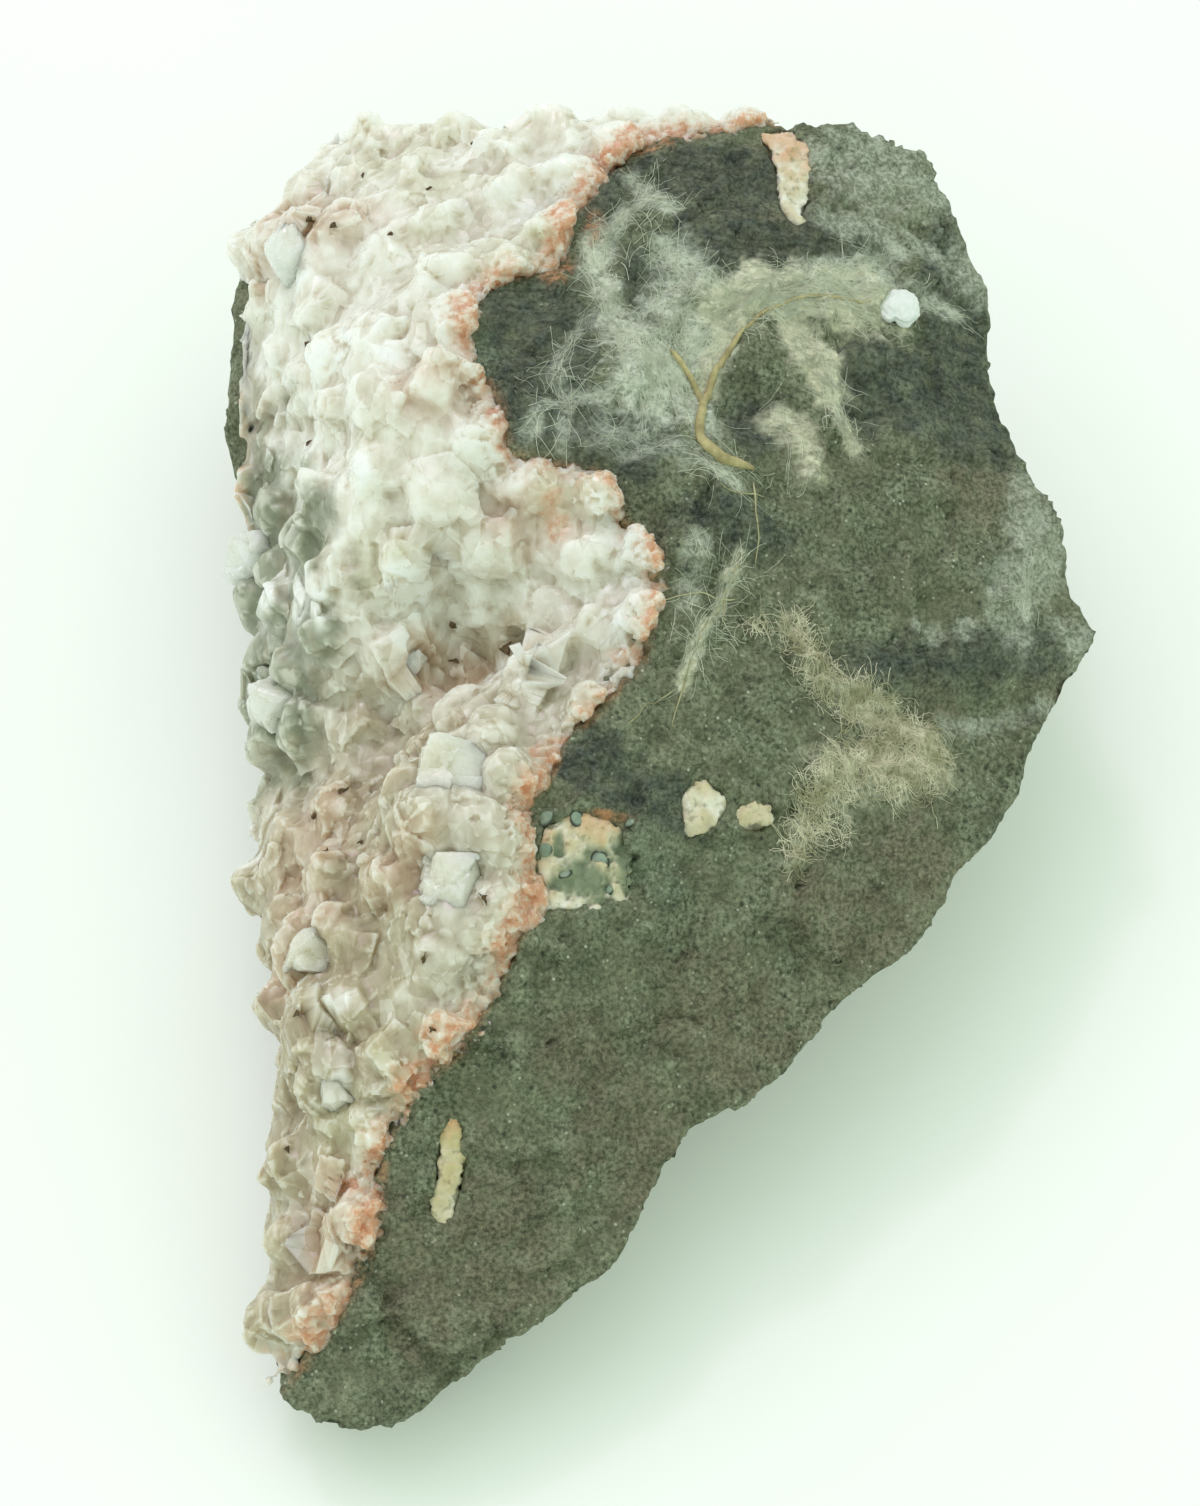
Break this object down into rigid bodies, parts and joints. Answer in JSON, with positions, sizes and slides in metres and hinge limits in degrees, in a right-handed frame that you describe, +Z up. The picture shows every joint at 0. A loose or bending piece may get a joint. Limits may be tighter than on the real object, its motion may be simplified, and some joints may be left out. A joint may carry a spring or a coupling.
{
  "type": "apophyllite specimen",
  "caption": "Broken wedge of basalt with a thick crust of milky stilbite crystals along one flank, glassy apophyllite crystals in the crust and pale zeolite veins.",
  "frame": {"origin": "under the middle of the specimen, at the height of the surface it lies on", "axes": "+Z up, +Y along the long direction from the narrow tip to the wide far end, +X from the crystal flank to the basalt's corner"},
  "size_m": [0.1221, 0.1857, 0.0688],
  "materials": {
    "basalt": "matte broken rock",
    "stilbite": "milky translucent crystals with a pearly lustre",
    "apophyllite": "clear glassy crystals",
    "zeolite": "chalky cream filling",
    "cocoon": "papery white",
    "root": "dry fibrous root"
  },
  "bodies": {
    "root": {"basalt_matrix": "basalt", "stilbite_druse": "stilbite", "apophyllite_crystal_1": "apophyllite", "apophyllite_crystal_2": "apophyllite", "apophyllite_crystal_3": "apophyllite", "apophyllite_crystal_4": "apophyllite", "apophyllite_crystal_5": "apophyllite", "apophyllite_crystal_6": "apophyllite", "apophyllite_crystal_7": "apophyllite", "apophyllite_crystal_8": "apophyllite", "apophyllite_crystal_9": "apophyllite", "top_vein": "zeolite", "lower_vein": "zeolite", "zeolite_patch": "zeolite", "zeolite_fleck_large": "zeolite", "zeolite_fleck_small": "zeolite", "white_cocoon": "cocoon", "dried_root": "root"}
  },
  "joints": []
}
